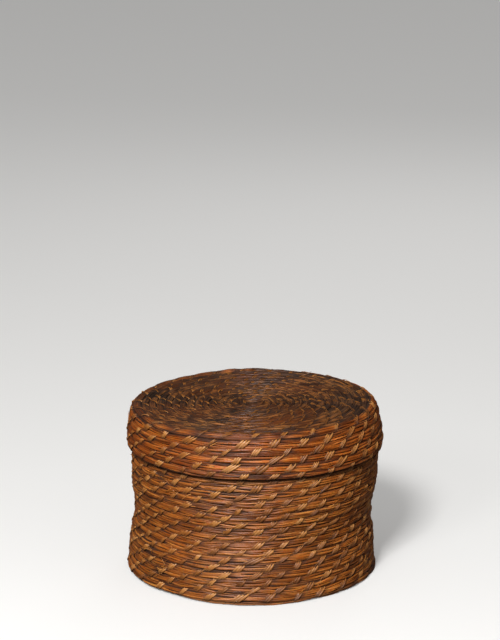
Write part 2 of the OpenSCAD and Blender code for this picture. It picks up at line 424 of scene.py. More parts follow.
def flatness(middle, onward):  # 1 on the lid's top and the base, 0 on the walls
    # less at the front of the lid's top, for the painted sheen there
    near = np.exp(-(np.linalg.norm(middle[:, :2] - frontSheen["at"], axis=1) / frontSheen["reach"]) ** 2)
    return smoothStep(shoulder - shoulder * np.abs(onward[:, 2])) * (1 - frontSheen["share"] * near)


def evenTurns(coil, span, every):  # steps of one length, shorter on the tight courses
    grid = np.linspace(*span, int((span[1] - span[0]) * gridPerTurn))
    r = np.interp(courseMiddle(coil, grid), coil["s"], coil["line"][:, 0])
    steps = 2 * np.pi * r / np.minimum(every, r * bundle["tightStep"])
    way = np.r_[0, np.cumsum((steps[1:] + steps[:-1]) / 2 * np.diff(grid))]
    return np.interp(np.linspace(0, way[-1], int(way[-1])), way, grid)


bundleSets = {  # stems round the core, corners of a stem, millimetres between its rings
    "baseBundle": {"stems": 10, "sides": 5, "every": 5.5, "seed": 21},
    "wallBundle": {"stems": 18, "sides": 5, "every": 4.4, "seed": 22},
    "collarBundle": {"stems": 16, "sides": 5, "every": 4.4, "seed": 23},
    "lidTop": {"stems": 18, "sides": 5, "every": 4.4, "seed": 24},
    "lidSide": {"stems": 18, "sides": 5, "every": 4.4, "seed": 25},
}
stemSet = {
    "fleck": 0.07,  # tone that neighbouring stems share
    "fleckFlat": 0.25,
    "fleckEvery": 7,
    "core": 0.88,  # share of the ring that the stems lie on
    "coreFlat": 0.12,  # more across, where light could fall through
    "coreSides": 8,
    # the core is painted dark: painted shade inside the bundle
    "coreTone": 0.1,
    "coreGroove": 0.2,
    "roam": 0.07,  # share of the way round
    "roamEvery": (12, 24),
    "dive": 0.1,  # in under the other stems
    "diveEvery": (11, 22),
    "uneven": 0.17,
    "unevenEvery": 33,
    "long": (25, 120),  # a stem's length before the next begins
    "firstCut": 70,
    "thinJoin": 0.5,
    "joinReach": 3.0,
    "toneShape": 1.5,
    "spreadWide": 1.02,
    "spreadThick": 1.05,
    "taperSize": 0.25,
    "wornAway": [0.3, 0.8],  # a stem in a worn spot is thinned by one of these
    "wornSink": 0.2,
    "wornDark": 0.8,
    # painted shade where a stitch draws the stems in
    "drawnDark": 0.7,
    "underDark": 0.4,  # painted shade: light left on the side of a stem that lies on the bundle
    "underSoft": 0.7,  # less makes a softer change to that side
}


def makeBundle(name, coil, span):
    b = bundleSets[name]
    g = stemSet
    sides = b["sides"]
    rng = np.random.default_rng(b["seed"])
    t = evenTurns(coil, span, b["every"])
    x = lengthAt(coil, t)
    x0, x1, count = x[0], x[-1], len(x)
    middle, _, onward, out, halfWide, halfThick = placeAt(coil, t)
    stemR = bundle["stemSize"] / 2
    points, faces, values = [], [], {"tone": [], "along": [], "groove": [], "flat": []}
    worn = wornAt(middle)
    flat = flatness(middle, onward)
    fleck = drift(rng.normal(0, 1, longTable), x, g["fleckEvery"]) * (g["fleck"] + g["fleckFlat"] * flat)
    s = courseMiddle(coil, t)

    def addTube(v, n, tone, groove):
        sidesHere = v.shape[1]
        ring = middle[:, None] + onward[:, None] * v[..., None] + out[:, None] * n[..., None]
        faces.extend(tubeFaces(count, sidesHere, sum(len(p) for p in points)))
        points.append(ring.reshape(-1, 3))
        for key, value in (("tone", tone), ("along", x), ("flat", flat)):
            values[key].append(np.repeat(value, sidesHere))
        values["groove"].append(groove.ravel())

    # core painted dark, for the shade between and under the stems
    coreAngle = np.arange(g["coreSides"]) * 2 * np.pi / g["coreSides"]
    coreWide = (halfWide - stemR) * (g["core"] + g["coreFlat"] * flat)
    coreThick = (halfThick - stemR) * g["core"]
    v, n = section(coreAngle[None], coreWide[:, None], coreThick[:, None])
    addTube(v, n, np.full(count, g["coreTone"]), np.full((count, g["coreSides"]), g["coreGroove"]))

    for j in range(b["stems"]):
        roam = drift(rng.uniform(-1, 1, shortTable), x, rng.uniform(*g["roamEvery"]))
        way = (j + 0.5) / b["stems"] + g["roam"] * roam
        angle = np.interp(way % 1, outlineWay, outlineAngle)
        deep = 1 - g["dive"] * np.abs(drift(rng.normal(0, 1, shortTable), x, rng.uniform(*g["diveEvery"])))
        size = stemR * (1 + g["uneven"] * drift(rng.normal(0, 1, shortTable), x, g["unevenEvery"]))
        lengths = rng.uniform(*g["long"], int((x1 - x0) / g["long"][0]) + 4)
        cuts = np.cumsum(lengths) + x0 - rng.uniform(0, g["firstCut"])
        tones = rng.beta(g["toneShape"], g["toneShape"], len(cuts) + 1)
        tone = np.clip(tones[np.searchsorted(cuts, x)] + fleck, 0, 1)
        size = size * (1 - g["thinJoin"] * np.exp(-((pastNearest(cuts, x) / g["joinReach"]) ** 2)))
        v, n = section(angle, halfWide - stemR, halfThick - stemR)
        drawn = drawnIn(coil, x, v)
        v = v * deep * (g["spreadWide"] - bundle["pinchWide"] * drawn)
        n = n * deep * (g["spreadThick"] - bundle["pinchThick"] * drawn)
        size = size * np.minimum(1, halfWide / (bundle["wide"] / 2) + g["taperSize"])
        size = size * (1 - worn * rng.choice(g["wornAway"]))
        n = n * (1 - g["wornSink"] * worn)
        rim = np.arange(sides) * 2 * np.pi / sides + rng.uniform(0, 6)
        # painted shade: darker deep between the courses, where a stitch draws the stems in, on a stem's side
        # that lies on the bundle and under the lid's edge; darker too in the worn spots
        groove = np.abs(n) / (bundle["thick"] / 2 - stemR)
        groove = groove * (1 - g["drawnDark"] * drawn ** 2) * (1 - g["wornDark"] * worn)
        facing = smoothStep(np.sign(n)[:, None] * np.sin(rim) * g["underSoft"] + 0.5)
        lit = g["underDark"] + (1 - g["underDark"]) * facing
        groove = (groove * seamShade(coil, s + v))[:, None] * lit
        v = v[:, None] + size[:, None] * np.cos(rim)
        n = n[:, None] + size[:, None] * np.sin(rim)
        addTube(v, n, tone, groove)

    values = {key: np.concatenate(value) for key, value in values.items()}
    return makeMesh(name, bentByHand(np.concatenate(points)), faces, values)


# stitches: flat split strands that loop round a course and bite into the course before it

stitches = {
    "lean": 46,  # degrees from square across the bundle
    "leanSpread": 6,
    "wide": (1.9, 3.5),  # on the lid's top and base, and on the walls
    "wideSpread": 0.17,  # share
    "thick": (0.3, 0.5),
    "proud": (-0.3, -0.1),  # past the bundle's own thickness
    "slant": 0.8,  # one edge lies flush and the other stands up over a dark slit
    "sink": 0.14,  # share by which the lower end lies deeper
    "bite": 0.6,  # into the course before
    "biteLeast": 0.2,  # share of it at the coil's thin ends
    "short": 0.1,  # from the far edge of its own course
    "ragged": 0.3,  # uneven ends of the split fibres
    "squeeze": 0.6,  # share of the width lost at the ends
    "squeezePower": 2.4,
    "full": 2.3,  # squareness of the loop
    "overlap": 1.3,  # of the splits of one stitch
    "thickSpread": (0.8, 1.25),
    "slip": 0.4,  # along the course
    "lift": 0.06,
    "wobble": 0.2,
    "uneven": 0.06,  # share of the way to the next stitch
    "endFree": 0.3,  # turns at the coil's end without stitches
    # painted highlight: paler towards the strand's upper end
    "tipHighlight": 0.42,
    "toneShape": 1.6,
    "toneFlat": 0.6,  # darker on the lid's top and base
    "toneSplit": 0.1,
    "run": 16,  # length of its fibre pattern
    "risePower": 0.5,  # how fast it comes up out of the groove's shade
    "shade": ((-1, -0.2, 1), (0.3, 0.75, 1)),  # darker towards its lower end
    "edgeShade": ((-0.4, 0.4), (0.3, 1)),
}
splitOutline = np.array([
    (-0.56, -0.3), (-0.4, 0.35), (-0.05, 0.75),
    (0.35, 0.6), (0.54, -0.1), (0.0, -0.6),
])
sewingSets = {  # split strands in a stitch, rings on its outer and inner side
    "baseSewing": {"splits": 1, "outer": 7, "inner": 5, "seed": 31},
    "wallSewing": {"splits": 3, "outer": 10, "inner": 4, "seed": 32},
    "collarSewing": {"splits": 3, "outer": 10, "inner": 4, "seed": 33},
    "topSewing": {"splits": 2, "outer": 9, "inner": 4, "seed": 34},
    "sideSewing": {"splits": 3, "outer": 10, "inner": 4, "seed": 35},
}
patternLong = 900  # each strand starts somewhere on this length of pattern


def makeStitches(name, coil, span):
    k = stitches
    splits, outer, inner = (sewingSets[name][key] for key in ("splits", "outer", "inner"))
    rng = np.random.default_rng(sewingSets[name]["seed"])
    t = coil["sewn"]
    t = t[(t >= span[0]) & (t < span[1])]
    count = len(t) * splits
    upright = np.abs(placeAt(coil, t)[2][:, 2])

    def between(pair):
        return pair[0] + (pair[1] - pair[0]) * upright

    def each(values):  # the same for all the splits of one stitch
        return np.repeat(values, splits)

    part = np.tile(np.arange(splits) - (splits - 1) / 2, len(t)) / splits
    lean = each(np.radians(k["lean"] + rng.normal(0, k["leanSpread"], len(t))))
    wide = each(between(k["wide"]) * (1 + k["wideSpread"] * rng.normal(0, 1, len(t))))
    thick = each(between(k["thick"])) * rng.uniform(*k["thickSpread"], count)
    tone = rng.beta(k["toneShape"], k["toneShape"], len(t)) * between((k["toneFlat"], 1))
    tone = each(tone) + rng.normal(0, k["toneSplit"], count)
    slip = each(rng.normal(0, k["slip"], len(t))) + coil["outSide"] * part * wide / np.cos(lean)
    proud = each(between(k["proud"])) + k["slant"] * part + rng.normal(0, k["lift"], count)
    middle, along, onward, out, halfWide, halfThick = placeAt(coil, each(t))
    share = halfWide / np.max(halfWide)
    halfWide = share * bundle["pitch"] / 2
    low = -(halfWide + k["bite"] * np.minimum(1, share + k["biteLeast"])) + rng.normal(0, k["ragged"], count)
    high = halfWide - k["short"] + rng.normal(0, k["ragged"], count)
    deep = halfThick + proud

    def ease(m):
        return np.sin(np.linspace(-1, 1, m) * np.pi / 2)

    tau = np.r_[ease(outer), ease(inner + 2)[1:-1][::-1]]  # out and up, then back down inside
    side = np.r_[np.ones(outer), -np.ones(inner)]
    upper = tau * coil["outSide"]  # 1 at the end that is higher on the wall
    rise = np.maximum(1 - np.abs(tau) ** k["full"], 0) ** (1 / k["full"]) * side
    rise = rise * (1 - k["sink"] * (1 - upper) * (side > 0))
    stepY = np.roll(tau, -1) - np.roll(tau, 1)
    stepN = np.roll(rise, -1) - np.roll(rise, 1)

    half = (high - low) / 2
    y = (high + low)[:, None] / 2 + half[:, None] * tau  # across the course
    n = deep[:, None] * rise
    slope = np.stack([half[:, None] / np.cos(lean)[:, None] * stepY, deep[:, None] * stepN], -1)
    slope /= np.linalg.norm(slope, axis=-1)[..., None]
    across = np.cos(lean)[:, None] * along - np.sin(lean)[:, None] * onward  # width of the strand
    upward = np.sin(lean)[:, None] * along + np.cos(lean)[:, None] * onward  # length of the strand
    spot = (middle[:, None] + onward[:, None] * y[..., None] + out[:, None] * n[..., None]
            + along[:, None] * (y * np.tan(lean)[:, None] + slip[:, None])[..., None])
    normal = -upward[:, None] * slope[..., 1:2] + out[:, None] * slope[..., 0:1]
    width = k["overlap"] * wide[:, None] / splits * (1 - k["squeeze"] * np.abs(tau) ** k["squeezePower"])
    outline = splitOutline if coil["outSide"] > 0 else (splitOutline * (-1, 1))[::-1]
    sides = len(outline)
    wobble = 1 + k["wobble"] * rng.normal(0, 1, (count, 1, sides))
    ring = (spot[:, :, None] + across[:, None, None] * (width[..., None] * outline[:, 0])[..., None]
            + normal[:, :, None] * (thick[:, None, None] * outline[:, 1] * wobble)[..., None])
    rings = len(tau)
    faces = []
    for i in range(count):
        faces.extend(loopFaces(rings, sides, i * rings * sides))
    shape = (count, rings, sides)
    fibre = tone[:, None, None] + rng.normal(0, k["toneSplit"], (count, 1, sides))
    # painted highlight at the strand's upper end
    fibre = fibre + k["tipHighlight"] * smoothStep(upper)[:, None]
    run = rng.uniform(0, patternLong, count)[:, None, None] + np.linspace(0, k["run"], rings)[None, :, None]
    # painted shade: darker where the strand dives into a groove, towards its lower end, on its underside
    # edge and under the lid's edge
    shade = np.interp(upper, *k["shade"])
    groove = (np.abs(rise) ** k["risePower"] * shade)[:, None]
    groove = groove * np.interp(outline[:, 1], *k["edgeShade"])
    groove = groove * seamShade(coil, courseMiddle(coil, each(t))[:, None] + y)[..., None]
    values = {
        "tone": np.clip(fibre, 0, 1).ravel(),
        "along": (run + np.zeros(shape)).ravel(),
        "groove": groove.ravel(),
        "flat": np.repeat(flatness(middle, onward), rings * sides),
    }
    return makeMesh(name, bentByHand(ring.reshape(-1, 3)), faces, values)


# materials

def newGroup(name, inputs, outputs):
    group = bpy.data.node_groups.new(name, "ShaderNodeTree")
    for label, kind, value in inputs:
        socket = group.interface.new_socket(label, in_out="INPUT", socket_type=kind)
        if value is not None:
            socket.default_value = value
    for label, kind in outputs:
        group.interface.new_socket(label, in_out="OUTPUT", socket_type=kind)
    return group, group.nodes.new("NodeGroupInput"), group.nodes.new("NodeGroupOutput")


def link(tree, a, b):
    tree.links.new(a, b)


def mathNode(tree, how, a, b=None, clamp=False):
    node = tree.nodes.new("ShaderNodeMath")
    node.operation = how
    node.use_clamp = clamp
    for i, value in enumerate((a, b)):
        if value is None:
            continue
        if isinstance(value, (int, float)):
            node.inputs[i].default_value = value
        else:
            link(tree, value, node.inputs[i])
    return node.outputs[0]


def mixColour(tree, share, a, b, how="MIX"):
    node = tree.nodes.new("ShaderNodeMix")
    node.data_type = "RGBA"
    node.blend_type = how
    for socket, value in ((node.inputs[0], share), (node.inputs[6], a), (node.inputs[7], b)):
        if isinstance(value, (int, float, tuple)):
            socket.default_value = value
        else:
            link(tree, value, socket)
    return node.outputs[2]


def ramp(tree, value, stops):
    node = tree.nodes.new("ShaderNodeValToRGB")
    node.color_ramp.elements[0].position, node.color_ramp.elements[0].color = stops[0]
    node.color_ramp.elements[1].position, node.color_ramp.elements[1].color = stops[-1]
    for place, colour in stops[1:-1]:
        node.color_ramp.elements.new(place).color = colour
    link(tree, value, node.inputs[0])
    return node.outputs[0]


def attribute(tree, name):
    node = tree.nodes.new("ShaderNodeAttribute")
    node.attribute_name = name
    return node.outputs["Fac"]


def noise(tree, vector, scale, detail, rough=0.5):
    node = tree.nodes.new("ShaderNodeTexNoise")
    node.inputs["Scale"].default_value = scale
    node.inputs["Detail"].default_value = detail
    node.inputs["Roughness"].default_value = rough
    link(tree, vector, node.inputs["Vector"])
    return node.outputs["Fac"]


def combine(tree, x, y, z):
    node = tree.nodes.new("ShaderNodeCombineXYZ")
    for socket, value in zip(node.inputs, (x, y, z)):
        if isinstance(value, (int, float)):
            socket.default_value = value
        else:
            link(tree, value, socket)
    return node.outputs[0]


fibreSet = {
    "spread": 91.0,  # keeps the pattern of one stem apart from the next
    "quick": 7.0,  # short streaks to a long one
    "slowShare": 0.65,
    "quickShare": 0.35,
    "fine": 1900.0,
    "fineShare": 0.6,
    "blotch": 26.0,
    "blotchRough": 0.6,
}
ageSet = {
    "patch": 60.0,
    "patchRough": 0.65,
    # painted shade, with some dirt, where the groove value is low
    "shadeDirtPower": 1.1,
    "shadeDirtColour": srgb(34, 15, 4),
    "dustPower": 2.5,
    "dustLeast": 0.35,
    "dustColour": srgb(46, 30, 17),
}
grassSet = {"kinds": 47.3, "warm": (0.38, 0.64), "dullRough": 0.6, "bumpDeep": 0.0003}
floatSocket, colourSocket, vectorSocket = "NodeSocketFloat", "NodeSocketColor", "NodeSocketVector"


def makeStreaks():  # long fibre streaks that run along each stem
    group, start, end = newGroup(
        "fibreStreaks",
        [("Along", floatSocket, 0.0), ("Tone", floatSocket, 0.5),
         ("Grain", floatSocket, 0.06), ("Place", vectorSocket, None)],
        [("Streak", floatSocket), ("Blotch", floatSocket), ("Height", floatSocket)])
    c = fibreSet
    lengthwise = mathNode(group, "MULTIPLY", start.outputs["Along"], start.outputs["Grain"])
    spread = mathNode(group, "MULTIPLY", start.outputs["Tone"], c["spread"])
    slow = noise(group, combine(group, lengthwise, spread, 0.0), scale=1.0, detail=3.0, rough=0.6)
    quickWay = mathNode(group, "MULTIPLY", lengthwise, c["quick"])
    quick = noise(group, combine(group, quickWay, spread, 3.0), scale=1.0, detail=2.0)
    fine = noise(group, start.outputs["Place"], c["fine"], detail=2.0)
    slowPart = mathNode(group, "MULTIPLY", slow, c["slowShare"])
    quickPart = mathNode(group, "MULTIPLY", quick, c["quickShare"])
    finePart = mathNode(group, "MULTIPLY", fine, c["fineShare"])
    blotch = noise(group, start.outputs["Place"], c["blotch"], detail=4.0, rough=c["blotchRough"])
    link(group, mathNode(group, "ADD", slowPart, quickPart), end.inputs["Streak"])
    link(group, blotch, end.inputs["Blotch"])
    link(group, mathNode(group, "ADD", quick, finePart), end.inputs["Height"])
    return group


def makeAge():  # painted shade, with some dirt, low in the grooves, beside the stitches and under the lid's edge, and grey dust on what faces up
    group, start, end = newGroup(
        "age",
        [("Colour", colourSocket, None), ("Groove", floatSocket, 1.0), ("Place", vectorSocket, None),
         ("Up", floatSocket, 0.0), ("ShadeDirt", floatSocket, 0.6), ("Dust", floatSocket, 0.4)],
        [("Colour", colourSocket), ("Dull", floatSocket)])
    c = ageSet
    patch = noise(group, start.outputs["Place"], c["patch"], detail=4.0, rough=c["patchRough"])
    deep = mathNode(group, "SUBTRACT", 1.0, start.outputs["Groove"], True)
    deep = mathNode(group, "POWER", deep, c["shadeDirtPower"])
    deep = mathNode(group, "MULTIPLY", deep, start.outputs["ShadeDirt"], True)
    # painted shade and dirt: darker where the groove value is low
    shadedSoiled = mixColour(group, deep, start.outputs["Colour"], c["shadeDirtColour"])
    facing = mathNode(group, "POWER", start.outputs["Up"], c["dustPower"])
    facing = mathNode(group, "MULTIPLY", facing, mathNode(group, "ADD", patch, c["dustLeast"]), True)
    dull = mathNode(group, "MULTIPLY", facing, start.outputs["Dust"], True)
    link(group, mixColour(group, dull, shadedSoiled, c["dustColour"]), end.inputs["Colour"])
    link(group, mathNode(group, "MAXIMUM", dull, deep), end.inputs["Dull"])
    return group


streakGroup = makeStreaks()
ageGroup = makeAge()


def makeGrass(name, look):
    material = bpy.data.materials.new(name)
    material.use_nodes = True
    tree = material.node_tree
    shader = tree.nodes["Principled BSDF"]
    place = tree.nodes.new("ShaderNodeTexCoord").outputs["Object"]
    tone, along, groove = (attribute(tree, key) for key in ("tone", "along", "groove"))
    streaks = tree.nodes.new("ShaderNodeGroup")
    streaks.node_tree = streakGroup
    link(tree, along, streaks.inputs["Along"])
    link(tree, tone, streaks.inputs["Tone"])
    link(tree, place, streaks.inputs["Place"])
    streaks.inputs["Grain"].default_value = look["grain"]
    mixed = mathNode(tree, "ADD", mathNode(tree, "MULTIPLY", tone, look["toneShare"]),
                     mathNode(tree, "MULTIPLY", streaks.outputs["Streak"], 1 - look["toneShare"]))
    colour = ramp(tree, mixed, look["stems"])
    kind = mathNode(tree, "FRACT", mathNode(tree, "MULTIPLY", tone, grassSet["kinds"]))
    colour = mixColour(tree, look["hueShare"], colour, ramp(tree, kind, look["hues"]), "COLOR")
    cold, hot = grassSet["warm"]
    warm = ramp(tree, streaks.outputs["Blotch"], [(cold, (0, 0, 0, 1)), (hot, (1, 1, 1, 1))])
    colour = mixColour(tree, mathNode(tree, "MULTIPLY", warm, look["patch"]), colour, look["patchColour"])
    age = tree.nodes.new("ShaderNodeGroup")
    age.node_tree = ageGroup
    normal = tree.nodes.new("ShaderNodeNewGeometry").outputs["Normal"]
    split = tree.nodes.new("ShaderNodeSeparateXYZ")
    link(tree, normal, split.inputs[0])
    link(tree, colour, age.inputs["Colour"])
    link(tree, groove, age.inputs["Groove"])
    link(tree, place, age.inputs["Place"])
    facing = mathNode(tree, "MULTIPLY", split.outputs["Z"], attribute(tree, "flat"), True)
    link(tree, facing, age.inputs["Up"])
    # strength of the painted shade and dirt
    age.inputs["ShadeDirt"].default_value = look["shadeDirtStrength"]
    age.inputs["Dust"].default_value = look["dust"]
    link(tree, age.outputs["Colour"], shader.inputs["Base Color"])
    streaky = mathNode(tree, "MULTIPLY", streaks.outputs["Streak"], look["roughSpread"])
    dulled = mathNode(tree, "MULTIPLY", age.outputs["Dull"], grassSet["dullRough"])
    rough = mathNode(tree, "ADD", look["rough"], streaky)
    rough = mathNode(tree, "ADD", rough, mathNode(tree, "MULTIPLY", kind, look["kindRough"]))
    rough = mathNode(tree, "ADD", rough, dulled, True)
    link(tree, rough, shader.inputs["Roughness"])
    bump = tree.nodes.new("ShaderNodeBump")
    bump.inputs["Strength"].default_value = look["bump"]
    bump.inputs["Distance"].default_value = grassSet["bumpDeep"]
    link(tree, streaks.outputs["Height"], bump.inputs["Height"])
    link(tree, bump.outputs[0], shader.inputs["Normal"])
    shader.inputs["Specular IOR Level"].default_value = look["gloss"]
    return material


wallLook = {
    "stems": [(0.08, srgb(42, 19, 4)), (0.3, srgb(100, 50, 12)), (0.5, srgb(146, 78, 20)),
              (0.7, srgb(180, 108, 38)), (0.94, srgb(218, 160, 90))],
    "hues": [(0.0, srgb(150, 66, 18)), (0.35, srgb(148, 80, 22)),
             (0.65, srgb(152, 98, 30)), (1.0, srgb(144, 88, 44))],
    "hueShare": 0.5,
    "toneShare": 0.66,  # of a stem's own tone, against its streaks
    "grain": 0.06,  # more gives shorter streaks
    "patch": 0.42,
    "patchColour": srgb(148, 72, 10),
    # strength of the painted shade and dirt in the grooves
    "shadeDirtStrength": 1.0,
    "dust": 1.0,
    "rough": 0.2,
    "roughSpread": 0.16,
    "kindRough": 0.16,
    "bump": 0.35,
    "gloss": 0.3,
}
topLook = dict(
    wallLook,
    stems=[(0.08, srgb(16, 7, 2)), (0.35, srgb(44, 23, 7)),
           (0.6, srgb(82, 47, 17)), (0.94, srgb(184, 130, 72))],
    grain=0.15, dust=0.8, gloss=0.26)
lidLook = dict(
    wallLook,
    hues=[(0.0, srgb(148, 58, 13)), (0.35, srgb(146, 70, 16)),
          (0.65, srgb(148, 84, 22)), (1.0, srgb(138, 78, 34))],
    hueShare=0.65, patch=0.5, patchColour=srgb(138, 62, 7), gloss=0.24)
# inside: weaker painted shade and dirt, fewer patches, less dust
insideLook = dict(wallLook, patch=0.15, shadeDirtStrength=0.6, dust=0.2)
strandLook = dict(
    wallLook,
    stems=[(0.08, srgb(94, 51, 15)), (0.4, srgb(146, 86, 33)),
           (0.7, srgb(184, 124, 60)), (0.95, srgb(230, 186, 124))],
    hues=[(0.0, srgb(172, 94, 28)), (0.5, srgb(184, 116, 38)), (1.0, srgb(186, 120, 52))],
    patch=0.3, dust=0.5, rough=0.16, gloss=0.36)
wallGrass = makeGrass("wallGrass", wallLook)
lidGrass = makeGrass("lidGrass", lidLook)
topGrass = makeGrass("topGrass", topLook)
insideGrass = makeGrass("insideGrass", insideLook)
sewingStrand = makeGrass("sewingStrand", strandLook)
topStrand = makeGrass("topStrand", dict(strandLook, gloss=0.2))
print("materials made")


# the three coils and their sewing

def finishPiece(piece, material, body, nodes):
    piece.data.materials.append(material)
    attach(piece, body)
    if nodes:
        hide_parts(*nodes)


# outSide is 1 for a coil that climbs and -1 for one that comes down, wideFlat the bundle's width where
# it lies flat; the next value is the length of the painted shadow at the coil's end
windings = {
    "basket": {"outSide": 1, "wideFlat": 7.0, "shadowedEnd": 4.2, "firstStitch": 1.4, "swayed": True, "seed": 11},
    "lid": {"outSide": -1, "wideFlat": 6.0, "shadowedEnd": 1.2, "firstStitch": 1.4, "swayed": True, "seed": 12},
    "collar": {"outSide": 1, "wideFlat": 6.7, "shadowedEnd": 0.5, "firstStitch": 0.4, "swayed": False, "seed": 13},
}
basketCoil = makeCoil(basketLine(), windings["basket"])
lidCoil = makeCoil(lidLine(), windings["lid"])
collarCoil = makeCoil(collarLine(), windings["collar"])

wallRows = sorted(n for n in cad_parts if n.startswith("wall_stitches"))
lidRows = sorted(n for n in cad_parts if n.startswith("lid_stitches"))
topRows = [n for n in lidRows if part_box(n)[0].z / mm > lidHigh - 2 * bundle["pitch"]]
sideRows = [n for n in lidRows if n not in topRows]
endTurn = 0.12  # share of a turn left off at a coil's end
backTurn = 0.25  # share of a turn that lies at the back
uprightFrom = 0.5  # slope at which a course counts as wall


def turnAtBend(coil):  # where the coil turns from flat to upright
    bend = np.argmax(np.abs(coil["slope"][:, 1]) > uprightFrom)
    return math.floor(coil["s"][bend] / bundle["pitch"] + 0.5) + backTurn


wallFrom = turnAtBend(basketCoil)
sideFrom = turnAtBend(lidCoil)

baseBundle = makeBundle("baseBundle", basketCoil, (endTurn, wallFrom))
finishPiece(baseBundle, insideGrass, "basket", ["base_coil"])
wallBundle = makeBundle("wallBundle", basketCoil, (wallFrom, basketCoil["turns"] - endTurn))
finishPiece(wallBundle, wallGrass, "basket", ["wall_coil"])
collarBundle = makeBundle("collarBundle", collarCoil, (endTurn, collarCoil["turns"] - endTurn))
finishPiece(collarBundle, insideGrass, "basket", ["collar_coil"])
lidTop = makeBundle("lidTop", lidCoil, (endTurn, sideFrom))
finishPiece(lidTop, topGrass, "lid", ["lid_coil"])
lidSide = makeBundle("lidSide", lidCoil, (sideFrom, lidCoil["turns"] - endTurn))
finishPiece(lidSide, lidGrass, "lid", [])
print("bundles wound")

baseSewing = makeStitches("baseSewing", basketCoil, (0, wallFrom))
finishPiece(baseSewing, sewingStrand, "basket", [])
wallSewing = makeStitches("wallSewing", basketCoil, (wallFrom, basketCoil["turns"]))
finishPiece(wallSewing, sewingStrand, "basket", wallRows)
collarSewing = makeStitches("collarSewing", collarCoil, (0, collarCoil["turns"]))
finishPiece(collarSewing, sewingStrand, "basket", ["collar_stitches", "collar_ties"])
topSewing = makeStitches("topSewing", lidCoil, (0, sideFrom))
finishPiece(topSewing, topStrand, "lid", topRows)
sideSewing = makeStitches("sideSewing", lidCoil, (sideFrom, lidCoil["turns"]))
finishPiece(sideSewing, sewingStrand, "lid", sideRows)
print("courses sewn")


# the tight knot that each coil starts from: one stem wound flat, in two layers

knot = {
    "wide": 3.4,
    "from": 0.02,  # share of the way where it begins
    "turns": 3,
    "stem": 0.62,
    "layers": (-0.8, 0.8),
    "close": 0.35,  # share by which the layers near each other at the rim
    "rings": 54,
    "sides": 6,
    "run": 30,  # length of its fibre pattern
    # a little painted shade and dirt over the whole knot
    "groove": 0.8,
}


def makeKnot(name, middleHigh, seed):
    rng = np.random.default_rng(seed)
    c = knot
    u = np.linspace(c["from"], 1, c["rings"])
    turn = 2 * np.pi * c["turns"] * u
    rim = np.arange(c["sides"]) * 2 * np.pi / c["sides"]
    radial = np.stack([np.cos(turn), np.sin(turn), 0 * turn], -1)
    up = np.array([0, 0, 1.0])
    points, faces = [], []
    for i, layer in enumerate(c["layers"]):
        high = middleHigh + layer * (1 - c["close"] * u)
        spine = radial * (c["wide"] * u)[:, None] + up * high[:, None]
        around = radial[:, None] * np.cos(rim)[:, None] + up * np.sin(rim)[:, None]
        ring = spine[:, None] + c["stem"] * around
        faces.extend(tubeFaces(c["rings"], c["sides"], i * c["rings"] * c["sides"]))
        points.append(ring.reshape(-1, 3))
    count = len(c["layers"]) * c["rings"] * c["sides"]
    tone = rng.beta(stemSet["toneShape"], stemSet["toneShape"], count // c["sides"])
    values = {
        "tone": np.repeat(tone, c["sides"]),
        "along": np.repeat(np.tile(u * c["run"], len(c["layers"])), c["sides"]),
        "groove": np.full(count, c["groove"]),
        "flat": np.ones(count),
    }
    return makeMesh(name, bentByHand(np.concatenate(points)), faces, values)


lidKnot = makeKnot("lidKnot", lidLine()[0, 1], seed=51)
finishPiece(lidKnot, topGrass, "lid", ["lid_start_knot"])
baseKnot = makeKnot("baseKnot", basketLine()[0, 1], seed=52)
finishPiece(baseKnot, insideGrass, "basket", [])
print("knots tied")


# loose ends of broken stems and split strands that stand off the surface

looseEnds = {
    "long": (2.5, 8.0),
    "thick": (0.2, 0.4),
    "lift": (0.03, 0.3),  # outward part of its direction
    "stray": 0.35,  # sideways part
    "curl": 0.35,
    "across": 2.2,  # from the bundle's middle
    "sunk": 0.5,  # its root in the bundle
    "taper": 0.75,
    "rings": 6,
    "sides": 5,
    "run": 9,  # length of its fibre pattern
    "toneShape": (2.0, 1.5),
    "onWall": 60,
    "onLid": 40,
    "lidFrom": 14,  # turns of the lid's coil that have none
    "bySpot": 5,  # beside each worn spot
    "spotReach": 0.008,  # turns
    "spotSteps": 4000,  # places tried along the coil
    "endFree": 0.05,
}


